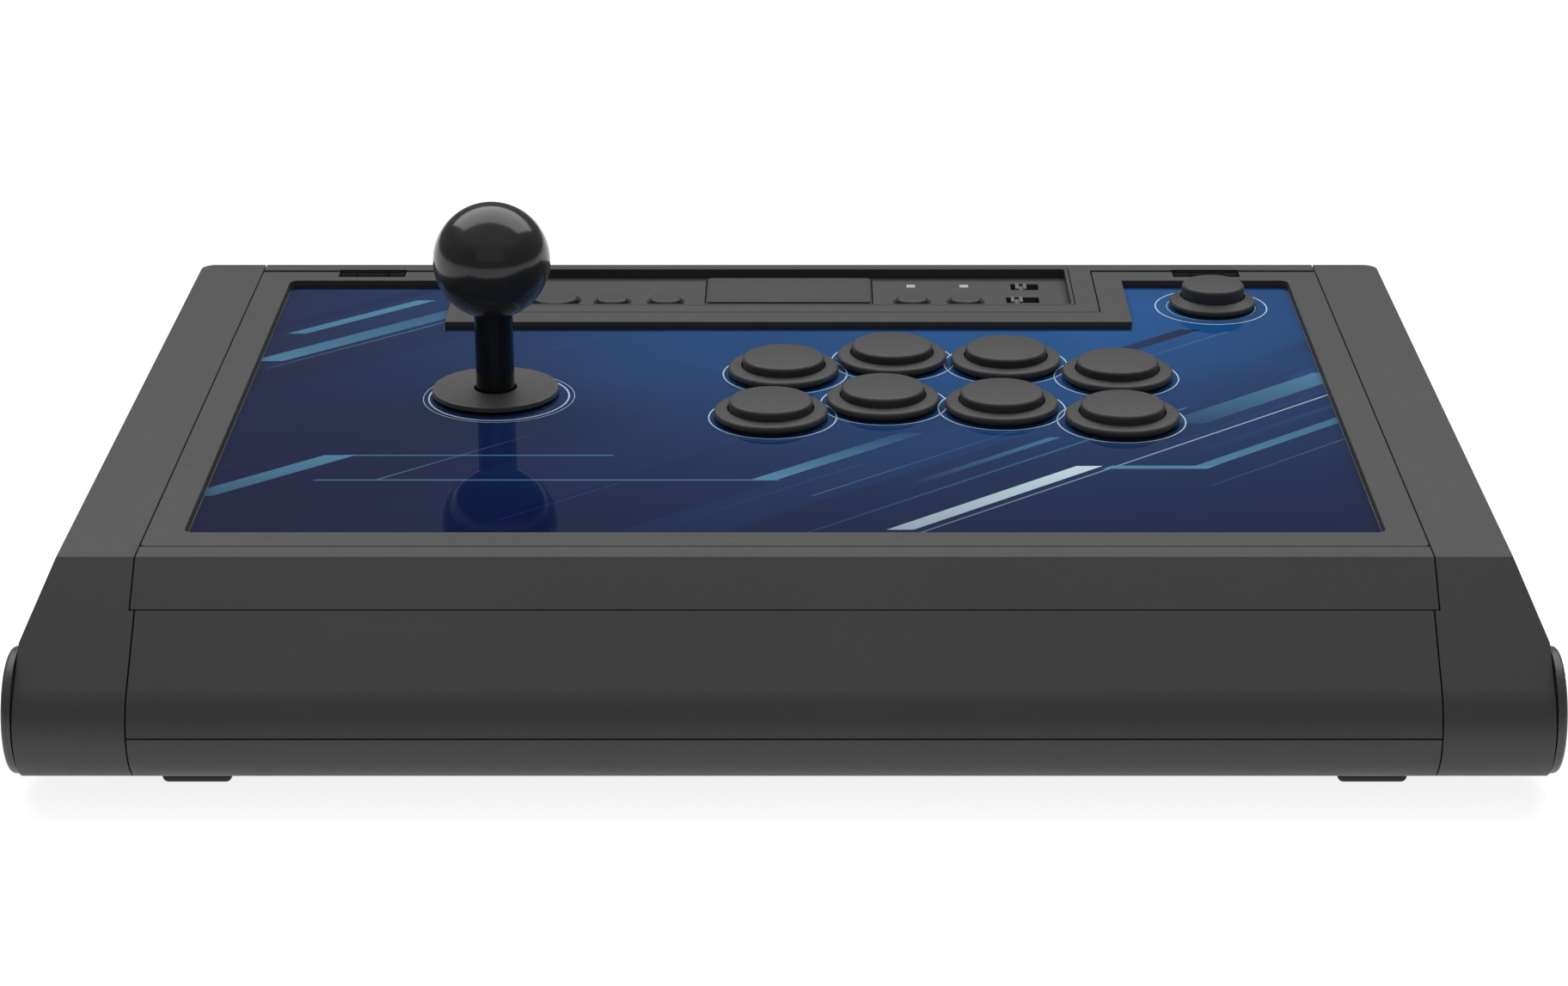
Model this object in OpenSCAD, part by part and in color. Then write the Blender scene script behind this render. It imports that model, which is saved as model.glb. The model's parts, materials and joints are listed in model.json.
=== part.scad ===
// Arcade joystick panel: a low case with a hinged, weighted lid that carries a
// ball-top stick, eight large buttons in two arched rows and one option button.
// A shallow console tray with small buttons, a touch pad and two slide switches
// stays on the case behind the lid. All sizes are in millimetres. The origin is
// under the middle of the case at floor level; the player sits towards -Y.

/* [Case] */
// Width of the flat top between the two leaning flanks
top_w = 390; // [386:1:396]
// How far each flank leans out below the top
flank_out = 7.3; // [6:0.1:8]
// Height over which the flank leans out
flank_drop = 16.5; // [15:0.5:18]
// Height of the top above the floor
top_z = 57.5; // [57:0.1:58]
// Front edge of the flat top
bend_y = -112.1; // [-113:0.1:-111]
// Rear face of the case
rear_y = 148.8; // [148.5:0.1:150]
// Fall of the front slope in degrees
slope = 39.5; // [38:0.5:41]
// Radius of the rounded front roll
roll_r = 15.4; // [14.5:0.1:16]
// Wall thickness of the plastic shells
wall = 2.5; // [2:0.1:3]
// Gap left at each seam between fixed shells
seam = 0.4; // [0.3:0.05:0.5]

/* [Feet] */
// Height of the rubber feet
foot_h = 4.5; // [4:0.1:5]
// Width and length of one foot
foot_size = [18.7, 20]; // [15:0.1:25]
// Distance of the feet from the middle of the case
foot_x = 157.6; // [150:0.1:158]

/* [Lid] */
// Half width of the lid
lid_half = 173.8; // [173:0.1:173.8]
// Front edge of the lid
lid_front = -104.3; // [-104.3:0.1:-104]
// Rear edge of the lid
lid_rear = 141.4; // [141:0.1:141.4]
// Half width of the artwork window
art_half = 163.7; // [160:0.1:164]
// Front and rear edges of the artwork window
art_y = [-94.3, 131.4]; // [-95:0.1:132]
// Depth of the artwork's clear cover below the lid's rim
art_drop = 1.6; // [1.4:0.1:2.2]
// Thickness of the clear cover
cover_t = 0.8; // [0.7:0.05:1.2]
// Thickness of the steel plate under the artwork
plate_t = 1.6; // [1.4:0.1:2]

/* [Controls] */
// Centres of the front row of large buttons
front_row = [[-4.8, 4.3], [28.7, 16.2], [64.1, 11.7], [99.3, 1]]; // [-10:0.1:110]
// Centres of the rear row of large buttons
rear_row = [[-1.3, 43.8], [32.2, 55.7], [67.3, 52.6], [100.8, 40.3]]; // [-10:0.1:110]
// Centre of the option button
option_at = [137, 111]; // [100:0.1:140]
// Rim and plunger radii of a large button
big_r = [17, 12.5]; // [12:0.1:17.5]
// Rim and plunger radii of the option button
small_r = [13.9, 10]; // [9.5:0.1:14]
// Travel of the large buttons and the option button
press = 3.2; // [2.5:0.1:3.4]

/* [Stick] */
// Centre of the stick on the lid
stick_at = [-88.05, 24.75]; // [-95:0.1:30]
// Radius of the ball top
ball_r = 17.5; // [17:0.1:17.6]
// Height of the ball's centre above the floor
ball_z = 97.8; // [95:0.1:100]
// Height of the tilt centre above the floor
pivot_z = 34; // [33.5:0.1:34.5]
// Radius of the bare shaft
shaft_r = 4.7; // [4.6:0.05:4.75]
// Radius of the sleeve over the shaft
sleeve_r = 5.8; // [5.5:0.1:5.9]
// Radius and thickness of the dust washer
dust = [19.05, 1.5]; // [1:0.05:20]

/* [Console] */
// Half width of the console surround
console_half = 99.6; // [99:0.1:99.6]
// Front edge of the console surround
console_front = 98.4; // [98.4:0.1:99]
// Half width of the sunken tray
tray_half = 91.1; // [91:0.1:91.5]
// Front and rear edges of the sunken tray
tray_y = [106.6, 143.8]; // [106:0.1:144]
// Depth of the sunken tray
tray_drop = 3.1; // [3:0.1:3.3]
// Centres of the four small console buttons
key_x = [-57.5, -40.1, 40.1, 57.5]; // [-60:0.1:60]
// Distance of the console buttons from the middle, front to rear
key_y = 118.6; // [118:0.1:119]
// Centre of the home button
home_at = [-76.2, 120]; // [-80:0.1:121]
// Travel of the console buttons
key_press = 0.8; // [0.5:0.1:0.9]

/* [Release] */
// Centre of the round end of the roll, seen from the side
end_at = [-131.8, 21.6]; // [-132:0.1:22]
// Outer radius of the ring on each end
end_r = 17; // [16.5:0.1:17]
// Outer face of the end rings
end_x = 205.3; // [205:0.1:206]
// Radius of the release button in each end
release_r = 13; // [12:0.1:13]

/* [Hidden] */
$fn = 96;

flank_w = top_w / 2 + flank_out;
flank_z = top_z - flank_drop;
roll_z = foot_h + roll_r;
roll_y = bend_y - ((top_z - roll_z) * cos(slope) - roll_r) / sin(slope);
buttons = concat(front_row, rear_row);
art_z = top_z - art_drop;
sheet_t = 0.25;
air = 0.1;
plate_z = art_z - cover_t - air - sheet_t;
flange_z = 44;
notch_half = 109.2;
notch_y = 88.1;
seam_run = 16.2;
seam_pt = [bend_y - seam_run * cos(slope), top_z - seam_run * sin(slope)];
base_seam_z = 20.7;
inner_x = 172.4;
side_x = 174.2;
hinge_x = 137.6;
hinge_axis = [139.8, 55.2];
barrel_r = 2.05;
pin_r = 1.25;
pocket = [22, 135.4, 143.2];
board_z = 43.6;
board_t = 1.6;
tray_floor = top_z - tray_drop;
floor_t = 2;
dome_h = 3.6;
stem_r = 5;
lever_x = [166, 168.6];
hook = [-94, 41];
led_x = [40.1, 57.6];
led_y = 135.3;
slot_a = [77.5, 134.1, 9.1, 6.2];
slot_b = [76.2, 120.1, 10.7, 5.9];
pad_box = [54, 114.6, 141.2];
usb_x = 60;
jack_x = -60;

// A solid drawn in the side view (Y, Z) and carried from x0 to x1
module along_x(x0, x1) {
  translate([x0, 0, 0]) rotate([90, 0, 90]) linear_extrude(x1 - x0) children();
}

// A flat rectangle with true round corners
module rounded(x0, x1, y0, y1, r) {
  translate([x0 + r, y0]) square([x1 - x0 - 2 * r, y1 - y0]);
  translate([x0, y0 + r]) square([x1 - x0, y1 - y0 - 2 * r]);
  for (x = [x0 + r, x1 - r], y = [y0 + r, y1 - r]) translate([x, y]) circle(r);
}

module block(x0, x1, y0, y1, z0, z1) {
  translate([x0, y0, z0]) cube([x1 - x0, y1 - y0, z1 - z0]);
}

module slab(z0, z1) {
  translate([0, 0, z0]) linear_extrude(z1 - z0) children();
}

// A shape and its twin on the other side of the middle
module both_sides() {
  children();
  mirror([1, 0, 0]) children();
}

// Side view of the whole case, drawn in by d
module profile(d) {
  corner = 6;
  n = [-sin(slope), cos(slope)];
  roll = [roll_y, roll_z];
  rear = rear_y - d;
  low = foot_h + d;
  polygon([
    [bend_y + d * tan(slope / 2), top_z - d],
    roll + (roll_r - d) * n,
    roll,
    [roll_y, low],
    [rear_y - corner, low],
    [rear_y - corner, foot_h + corner],
    [rear, foot_h + corner],
    [rear, top_z - d]
  ]);
  translate(roll) circle(roll_r - d);
  translate([rear_y - corner, foot_h + corner]) circle(corner - d);
}

module ring() {
  difference() {
    profile(0);
    profile(wall);
  }
}

// Half plane on the upper side of the seam that runs across the front slope
module above_slope_seam(shift) {
  translate(seam_pt) rotate(slope) translate([shift, -250]) square([400, 400]);
}

module below_slope_seam(shift) {
  translate(seam_pt) rotate(slope) translate([-200 - shift, -60]) square([200, 120]);
}

// One spring of round wire, its axis along Z
module coil(r, wire, height, turns) {
  steps = 16;
  sides = 6;
  count = steps * turns;
  points = [for (i = [0:count]) for (k = [0:sides - 1])
    let (a = 360 * i / steps, b = 360 * k / sides, d = r + wire * cos(b))
    [d * cos(a), d * sin(a), wire * sin(b) + height * i / count]];
  ends = [
    [for (k = [sides - 1:-1:0]) k],
    [for (k = [0:sides - 1]) count * sides + k]
  ];
  skin = [for (i = [0:count - 1]) for (k = [0:sides - 1])
    let (a = i * sides, n = (k + 1) % sides)
    [a + k, a + n, a + sides + n, a + sides + k]];
  polyhedron(points, concat(skin, ends), convexity = 8);
}

// A cross-recessed pan screw, head down, its tip at the origin side +Z
module screw(head_r, head_h, r, length) {
  difference() {
    union() {
      cylinder(head_h, head_r, head_r, $fn = 32);
      cylinder(head_h + length, r, r, $fn = 32);
    }
    for (a = [0, 90]) rotate(a) translate([0, 0, 0.45]) cube([head_r, 0.7, 1], center = true);
  }
}

// ---- Case -------------------------------------------------------------------

base_holes = [for (x = [-160, -55, 55, 160]) for (y = [-96, 100]) [x, y]];

module base_shell() {
  color("#3c3c3e") difference() {
    union() {
      along_x(-inner_x, inner_x) intersection() {
        ring();
        translate([-200, 0]) square([400, base_seam_z - seam / 2]);
      }
      for (p = base_holes) translate([p.x, p.y, foot_h + 1]) cylinder(14, 4.2, 4.2);
      for (x = [-30, 40, 112]) block(x, x + 2, -110, 130, foot_h + 1, foot_h + 8);
    }
    for (p = base_holes) translate([p.x, p.y, 0]) {
      cylinder(30, 1.5, 1.5);
      cylinder(foot_h + 2, 3.2, 3.2);
    }
  }
}

module base_screws() {
  color("#8d9094") for (p = base_holes) translate([p.x, p.y, foot_h + 0.2]) screw(2.9, 1.8, 1.5, 10);
}

module rubber_feet() {
  r = 1.7;
  w = foot_size[0] / 2 - r;
  color("#2b2b2c") for (x = [-foot_x, foot_x], y = [-122.3, 122.3]) hull() {
    for (sx = [-w, w], sy = [-1, 1]) translate([x + sx, y + sy * (foot_size[1] / 2 - r), 0]) {
      translate([0, 0, r]) sphere(r, $fn = 24);
      translate([0, 0, r]) cylinder(foot_h - r, r, r, $fn = 24);
    }
  }
}

module lower_front_fascia() {
  color("#3a3a3c") along_x(-inner_x, inner_x) intersection() {
    ring();
    below_slope_seam(seam / 2);
    translate([-200, base_seam_z + seam / 2]) square([120, 60]);
  }
}

module upper_front_fascia() {
  back = lid_front - seam;
  color("#4a4a4c") {
    along_x(-lid_half, lid_half) {
      intersection() {
        ring();
        above_slope_seam(seam / 2);
        translate([-200, 0]) square([200 + back, 100]);
      }
      translate([back - wall, flange_z - 3]) square([wall, top_z - flange_z + 2]);
    }
    block(-150, 150, back - 0.5, back + 6.5, flange_z - 3, flange_z - 0.5);
  }
}

// The case's outside with leaning flanks, drawn in by d, on the +X side
module flank_solid(d) {
  r = 4.5 - d;
  levels = [[top_w / 2 - d, top_z - d], [flank_w - d, flank_z - d / 2], [flank_w - d, foot_h + d]];
  hull() for (l = levels) translate([0, 0, l[1] - 0.01]) {
    translate([l[0] - r, rear_y - d - r, 0]) cylinder(0.01, r, r, $fn = 48);
    translate([l[0] - 1, -155, 0]) cube([1, 1, 0.01]);
    translate([160, -155, 0]) cube([1, 155 + rear_y - d, 0.01]);
  }
}

// Right side housing; the left one is its mirror image
module side_housing() {
  inner_wall = [176, 178.5];
  difference() {
    union() {
      difference() {
        intersection() {
          along_x(inner_x + seam, flank_w + 1) profile(0);
          flank_solid(0);
        }
        intersection() {
          along_x(inner_x, flank_w + 1) profile(wall);
          flank_solid(wall);
        }
      }
      along_x(inner_wall[0], inner_wall[1]) intersection() {
        profile(wall - 0.1);
        translate([-160, 0]) square([62, 80]);
      }
    }
    along_x(inner_x - 1, side_x) {
      intersection() {
        above_slope_seam(-seam / 2);
        translate([-200, flange_z - 4]) square([400, 60]);
      }
      translate([lid_rear + 1.2 - seam, base_seam_z]) square([60, 60]);
    }
    translate([0, end_at[0], end_at[1]]) rotate([0, 90, 0]) {
      translate([0, 0, 190]) cylinder(20, release_r + 0.3, release_r + 0.3);
      cylinder(200, stem_r + 0.08, stem_r + 0.08);
    }
  }
}

module right_side_housing() {
  color("#454547") side_housing();
}

module left_side_housing() {
  color("#454547") mirror([1, 0, 0]) side_housing();
}

module end_rings() {
  hub = 14;
  round_r = 1.3;
  face = end_x - flank_w;
  bore = release_r + 0.3;
  color("#3a3a3c") both_sides() translate([flank_w, end_at[0], end_at[1]])
    rotate([0, 90, 0]) rotate_extrude() {
      translate([bore, 0]) square([hub - bore, face]);
      translate([bore, seam]) square([end_r - bore, face - seam - round_r]);
      translate([bore, face - round_r]) square([end_r - bore - round_r, round_r]);
      translate([end_r - round_r, face - round_r]) circle(round_r);
    }
}

module pocket_cut(grow) {
  block(hinge_x - pocket[0] / 2 - grow, hinge_x + pocket[0] / 2 + grow,
    pocket[1] - grow, pocket[2], flange_z, top_z + 1);
}

module rear_housing() {
  open_x = tray_half + 1.4;
  deep = 11.5;
  front = console_front;
  color("#4a4a4c") difference() {
    union() {
      along_x(-lid_half, lid_half) intersection() {
        ring();
        translate([lid_rear + 1.2, base_seam_z + seam / 2]) square([60, 60]);
      }
      block(-console_half, console_half, front, rear_y - 1, top_z - wall, top_z);
      block(-console_half, console_half, front, front + 2, top_z - deep, top_z - 1);
      both_sides() block(console_half - 2, console_half, front, rear_y - 1, top_z - deep, top_z - 1);
    }
    slab(top_z - 20, top_z + 1) rounded(-open_x, open_x, tray_y[0] - 1.4, tray_y[1] + 1.4, 1.5);
    both_sides() pocket_cut(0);
    translate([0, rear_y + 1, 0]) rotate([90, 0, 0]) {
      translate([0, 0, -1]) linear_extrude(wall + 3)
        rounded(usb_x - 5.2, usb_x + 5.2, board_z + 1.2, board_z + 6, 2.2);
      translate([jack_x, board_z + board_t + 4, -1]) cylinder(wall + 3, 4.3, 4.3);
    }
  }
}

// ---- Console tray and its electronics ---------------------------------------

module tray_well(p, r) {
  lip = 0.95;
  translate([p.x, p.y, tray_floor - floor_t - 1]) cylinder(floor_t + 2, r + 0.25, r + 0.25);
  translate([p.x, p.y, tray_floor - lip]) cylinder(lip + 0.01, r + 0.25, r + 0.25 + lip);
}

module slot_cut(s) {
  block(s[0] - s[2] / 2, s[0] + s[2] / 2, s[1] - s[3] / 2, s[1] + s[3] / 2,
    tray_floor - 5, tray_floor + 1);
}

key_r = 5.1;
home_r = 7.4;
tray_posts = [for (x = [-87, -10, 29.5, 87]) for (y = [110, 141.5]) if (abs(x) > 80 || y < 111) [x, y]];

module console_tray() {
  rim = 1.1;
  x = tray_half + rim;
  y0 = tray_y[0] - rim;
  y1 = tray_y[1] + rim;
  color("#474749") difference() {
    union() {
      slab(tray_floor - floor_t, top_z) rounded(-x, x, y0, y1, 1.4);
      for (p = tray_posts) translate([p.x, p.y, board_z + board_t])
        cylinder(tray_floor - floor_t - board_z - board_t + 0.5, 2.2, 2.2);
    }
    slab(tray_floor, top_z + 1) rounded(-tray_half, tray_half, tray_y[0], tray_y[1], 0.8);
    for (kx = key_x) tray_well([kx, key_y], key_r);
    tray_well(home_at, home_r);
    block(-pad_box[0] / 2 - 0.4, pad_box[0] / 2 + 0.4, pad_box[1] - 0.4, pad_box[2] + 0.4,
      tray_floor - 5, tray_floor + 1);
    for (lx = led_x) block(lx - 1.5, lx + 1.5, led_y - 1.6, led_y + 1.6, tray_floor - 5, tray_floor + 1);
    slot_cut(slot_a);
    slot_cut(slot_b);
    for (p = tray_posts) translate([p.x, p.y, board_z]) cylinder(7, 1, 1);
  }
}

module status_leds() {
  color("white") for (x = led_x)
    block(x - 1.45, x + 1.45, led_y - 1.55, led_y + 1.55, board_z + board_t, tray_floor - 0.05);
}

module control_board() {
  color("#1f5a35") difference() {
    block(-89.5, 89.5, 107.5, 143.6, board_z, board_z + board_t);
    for (p = tray_posts) translate([p.x, p.y, board_z - 1]) cylinder(4, 1.2, 1.2);
  }
  color("#222222") {
    block(-8, 8, 118, 134, board_z - 1.6, board_z);
    block(24, 32, 122, 128, board_z - 1.2, board_z);
    block(-44, -36, 124, 132, board_z - 1.2, board_z);
  }
}

// Dome switches under the console buttons and the bodies of the two slides
module board_switches() {
  low = board_z + board_t;
  spots = concat([for (x = key_x) [x, key_y]], [home_at, [-18, 128], [18, 128]]);
  color("#c9c9c4") {
    for (p = spots) translate([p.x, p.y, low]) {
      translate([-3, -3, 0]) cube([6, 6, 2.9]);
      cylinder(dome_h, 1.7, 1.7);
    }
    for (s = [slot_a, slot_b])
      block(s[0] - 6, s[0] + 6, s[1] - 2.4, s[1] + 2.4, low, low + 3.5);
  }
}

module console_key(p, r) {
  top = tray_floor + 1.5;
  under = tray_floor - floor_t - 0.1;
  dome = 0.9;
  color("#4d4d4f") translate([p.x, p.y, 0]) {
    translate([0, 0, under - 1.2]) cylinder(1.2, r + 0.8, r + 0.8);
    translate([0, 0, under - 0.1]) cylinder(top - dome - under + 0.1, r, r);
    translate([0, 0, top - dome]) rotate_extrude() {
      square([r - dome, dome]);
      intersection() {
        translate([r - dome, 0]) circle(dome);
        square([r, dome]);
      }
    }
    translate([0, 0, board_z + board_t + dome_h + key_press + 0.3]) cylinder(2.4, 1.5, 1.5);
  }
}

module home_button() {
  console_key(home_at, home_r);
}

module console_button_1() {
  console_key([key_x[0], key_y], key_r);
}

module console_button_2() {
  console_key([key_x[1], key_y], key_r);
}

module console_button_3() {
  console_key([key_x[2], key_y], key_r);
}

module console_button_4() {
  console_key([key_x[3], key_y], key_r);
}

module touch_pad() {
  top = tray_floor + 1;
  w = pad_box[0] / 2;
  edge = 0.5;
  color("#4b4b4d") {
    slab(tray_floor - 1.6, top - edge) rounded(-w, w, pad_box[1], pad_box[2], 1.2);
    slab(top - edge - 0.01, top) rounded(-w + edge, w - edge, pad_box[1] + edge, pad_box[2] - edge, 1);
    for (x = [-18, 18]) translate([x, 128, board_z + board_t + 4.3]) cylinder(5, 1.5, 1.5);
  }
}

// Slide knob with two finger ridges, its middle dx from the slot's middle
module slide_knob(s, width, dx) {
  gap = 0.35;
  x = s[0] + dx;
  depth = s[3] / 2 - gap;
  low = tray_floor - floor_t;
  color("#6a6a6c") {
    block(x - width / 2, x + width / 2, s[1] - depth, s[1] + depth, low - 1, tray_floor - 0.5);
    for (side = [-1, 1]) block(x + side * (width / 2 - 0.55) - 0.55, x + side * (width / 2 - 0.55) + 0.55,
      s[1] - depth, s[1] + depth, tray_floor - 0.6, tray_floor + 0.4);
    block(x - 5.4, x + 5.4, s[1] - 3.6, s[1] + 3.6, low - 1.2, low - 0.2);
    translate([x, s[1], board_z + board_t + 3.7]) cylinder(2.4, 1, 1);
  }
}

module mode_switch_knob() {
  slide_knob(slot_b, 3.8, -1.9);
}

module lock_switch_knob() {
  slide_knob(slot_a, 3.6, -1.2);
}

// Small reversible connector: a rounded metal sleeve round a tongue
module usb_port() {
  z = board_z + board_t + 1.7;
  w = 4.47;
  h = 1.63;
  translate([usb_x, rear_y - 1.2, z]) rotate([90, 0, 0]) {
    color("#b8babd") difference() {
      linear_extrude(8) rounded(-w, w, -h, h, 1.6);
      translate([0, 0, -1]) linear_extrude(8) rounded(-w + 0.3, w - 0.3, -h + 0.3, h - 0.3, 1.3);
    }
    color("#202020") translate([-3.3, -0.35, 1]) cube([6.6, 0.7, 6.5]);
  }
}

module headset_jack() {
  color("#1c1c1d") translate([jack_x, rear_y, board_z + board_t + 4]) rotate([90, 0, 0])
    difference() {
      union() {
        translate([0, 0, 0.3]) cylinder(wall + 1, 4, 4);
        translate([-5, -3.9, wall + 1]) cube([10, 6.9, 11]);
      }
      translate([0, 0, -1]) cylinder(14, 1.8, 1.8);
    }
}

// ---- Hinges and release latches ---------------------------------------------

module at_hinge(x0) {
  translate([x0, hinge_axis[0], hinge_axis[1]]) rotate([0, 90, 0]) children();
}

module hinge_bracket() {
  post = [hinge_axis[0] - 1.4, hinge_axis[0] + 1.4];
  outer = pocket[0] / 2 - 0.6;
  inner = 5.4;
  rear = rear_y - wall;
  difference() {
    union() {
      for (span = [[-outer, -inner], [inner, outer]]) {
        at_hinge(hinge_x + span[0]) cylinder(span[1] - span[0], barrel_r, barrel_r);
        block(hinge_x + span[0], hinge_x + span[1], post[0], post[1], 38, hinge_axis[1]);
      }
      block(hinge_x - outer, hinge_x + outer, post[0], rear, 38, 41);
      block(hinge_x - outer, hinge_x + outer, rear - 2, rear, 24, 41);
    }
    at_hinge(hinge_x - 20) cylinder(40, pin_r, pin_r);
    for (x = [-6, 6]) translate([hinge_x + x, rear + 1, 31]) rotate([90, 0, 0]) cylinder(6, 1.6, 1.6);
  }
}

module hinge_brackets() {
  color("#77797c") both_sides() hinge_bracket();
}

module hinge_pins() {
  outer = pocket[0] / 2 - 0.6;
  color("#a9abae") both_sides() at_hinge(hinge_x - outer) cylinder(2 * outer, pin_r, pin_r);
}

module release_springs() {
  color("#9a9c9f") both_sides() translate([179.6, end_at[0], end_at[1]]) rotate([0, 90, 0])
    coil(7.2, 0.5, 17.6, 6);
}

// Right release button: face, stem, stop collar, lever and hook
module release_button() {
  face_x = end_x - 0.4;
  skirt_x = 198;
  edge = 0.8;
  translate([0, end_at[0], end_at[1]]) rotate([0, 90, 0]) {
    translate([0, 0, skirt_x]) cylinder(face_x - edge - skirt_x, release_r, release_r);
    translate([0, 0, face_x - edge]) cylinder(edge, release_r, release_r - edge);
    translate([0, 0, lever_x[0]]) cylinder(skirt_x - lever_x[0] + 1, stem_r, stem_r);
    translate([0, 0, 172.4]) cylinder(3.2, 7, 7);
  }
  along_x(lever_x[0], lever_x[1]) {
    translate(end_at) circle(7.5);
    translate(hook) circle(4);
    rise = hook - end_at;
    translate(end_at) rotate(atan2(rise.y, rise.x)) translate([0, -3]) square([norm(rise), 6]);
  }
  block(lever_x[1] - 0.5, lever_x[1] + 1.5, hook.x - 2.5, hook.x + 2.5, hook.y - 1.4, hook.y + 1.4);
}

module right_release_button() {
  color("#333335") release_button();
}

module left_release_button() {
  color("#333335") mirror([1, 0, 0]) release_button();
}

module lid_catches() {
  x = [170.4, 171.7];
  color("#a4a6a9") both_sides() difference() {
    block(x[0], x[1], hook.x - 7, hook.x + 7, hook.y - 5, plate_z - plate_t);
    block(x[0] - 1, x[1] + 1, hook.x - 3.5, hook.x + 3.5, hook.y - 2.2, hook.y + 2.2);
  }
}

// ---- Lid --------------------------------------------------------------------

module lid_outline(shrink) {
  difference() {
    rounded(-lid_half + shrink, lid_half - shrink, lid_front + shrink, lid_rear - shrink, 1.5);
    translate([-console_half - seam - shrink, console_front - seam - shrink])
      square([2 * (console_half + seam + shrink), 60]);
  }
}

module art_window(shrink) {
  difference() {
    rounded(-art_half + shrink, art_half - shrink, art_y[0] + shrink, art_y[1] - shrink, 2.5);
    translate([-notch_half - shrink, notch_y - shrink]) square([2 * (notch_half + shrink), 60]);
  }
}

lid_screw_at = concat(
  [for (x = [-167.6, 167.6]) for (y = [-60, 20, 100]) [x, y]],
  [for (x = [-110, 0, 110]) [x, -99.5]],
  [for (x = [-116, 116]) [x, 136.5]]
);
stick_screw_at = [for (x = [-20, 20]) for (y = [-40, 40]) stick_at + [x, y]];

module lid_frame() {
  chamfer = 0.6;
  color("#4a4a4c") difference() {
    union() {
      slab(plate_z, top_z) difference() {
        lid_outline(0);
        art_window(0);
      }
      slab(flange_z, plate_z + 1) difference() {
        translate([-lid_half, lid_front]) square([2 * lid_half, 130 - lid_front]);
        translate([-lid_half + 2, lid_front + 2]) square([2 * lid_half - 4, 140 - lid_front]);
      }
    }
    both_sides() pocket_cut(0);
    along_x(-lid_half - 1, lid_half + 1)
      polygon([[lid_rear - chamfer, top_z], [lid_rear + 1, top_z], [lid_rear + 1, top_z - 1 - chamfer]]);
    for (p = lid_screw_at) translate([p.x, p.y, flange_z]) cylinder(top_z - 1.2 - flange_z, 1.45, 1.45);
  }
}

module control_holes(clear) {
  for (p = buttons) translate(p) circle(15.1 + clear);
  translate(option_at) circle(12.1 + clear);
  translate(stick_at) circle(12);
}

module mounting_plate() {
  color("#8a8c8f") difference() {
    slab(plate_z - plate_t, plate_z) difference() {
      lid_outline(2.4);
      control_holes(0);
      for (p = lid_screw_at) translate(p) circle(1.6);
      for (p = stick_screw_at) translate(p) circle(1.6);
    }
    both_sides() pocket_cut(0.6);
  }
}

module art_sheet() {
  color("#28417f") slab(plate_z, plate_z + sheet_t) difference() {
    art_window(0.3);
    control_holes(0.1);
  }
}

module clear_cover() {
  color("#cfe2f2", 0.35) slab(art_z - cover_t, art_z) difference() {
    art_window(0.3);
    control_holes(0.1);
  }
}

module lid_hinge_arms() {
  under = plate_z - plate_t;
  x = [hinge_x - 5, hinge_x + 5];
  back = hinge_axis[0] - 0.2;
  color("#77797c") both_sides() difference() {
    union() {
      at_hinge(x[0]) cylinder(10, barrel_r, barrel_r);
      block(x[0], x[1], back - 2.4, back, under - 2, hinge_axis[1]);
      block(x[0], x[1], 124.6, back, under - 2, under);
    }
    at_hinge(x[0] - 1) cylinder(12, pin_r + 0.05, pin_r + 0.05);
  }
}

module lid_screws() {
  under = plate_z - plate_t;
  color("#8d9094") {
    for (p = lid_screw_at) translate([p.x, p.y, under - 1.8]) screw(2.75, 1.8, 1.45, 3);
    for (p = stick_screw_at) translate([p.x, p.y, under - 1.7 - 1.8]) screw(2.75, 1.8, 1.45, 3.2);
  }
}

// ---- Push buttons -----------------------------------------------------------

// Top of each button's switch below the clear cover's top
switch_drop = 22.4;

// Housing of a snap-in button: a rim that falls to a round edge over a barrel
module button_body(rim_r, plunger_r, barrel_out, rim_h, edge) {
  bore = plunger_r + 0.45;
  outer = rim_r - edge;
  depth = 22;
  difference() {
    union() {
      rotate_extrude() {
        polygon([[bore, 0], [outer, 0], [outer, 2 * edge], [bore, rim_h]]);
        translate([outer, edge]) circle(edge);
      }
      translate([0, 0, -depth]) cylinder(depth + 0.5, barrel_out, barrel_out);
      for (a = [0, 180]) rotate(a) translate([barrel_out - 1, -3, -7.5]) cube([1.8, 6, 3.2]);
    }
    translate([0, 0, -depth + 2]) cylinder(depth + 10, bore, bore);
    translate([0, 0, -depth - 1]) cylinder(4, 3.5, 3.5);
  }
}

module button_bodies() {
  color("#39393b") for (p = buttons) translate([p.x, p.y, art_z])
    button_body(big_r[0], big_r[1], 14.9, 2.6, 1.15);
}

module option_button_body() {
  color("#39393b") translate([option_at.x, option_at.y, art_z])
    button_body(small_r[0], small_r[1], 11.9, 3.1, 0.95);
}

module button_switches() {
  color("#2d2d2f") for (p = concat(buttons, [option_at])) translate([p.x, p.y, art_z]) {
    translate([-9.9, -3.2, -switch_drop - 8]) cube([19.8, 6.4, 8]);
    for (x = [-5, 5]) translate([x - 2.4, -0.4, -switch_drop - 13]) cube([4.8, 0.8, 5.6]);
  }
}

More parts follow.
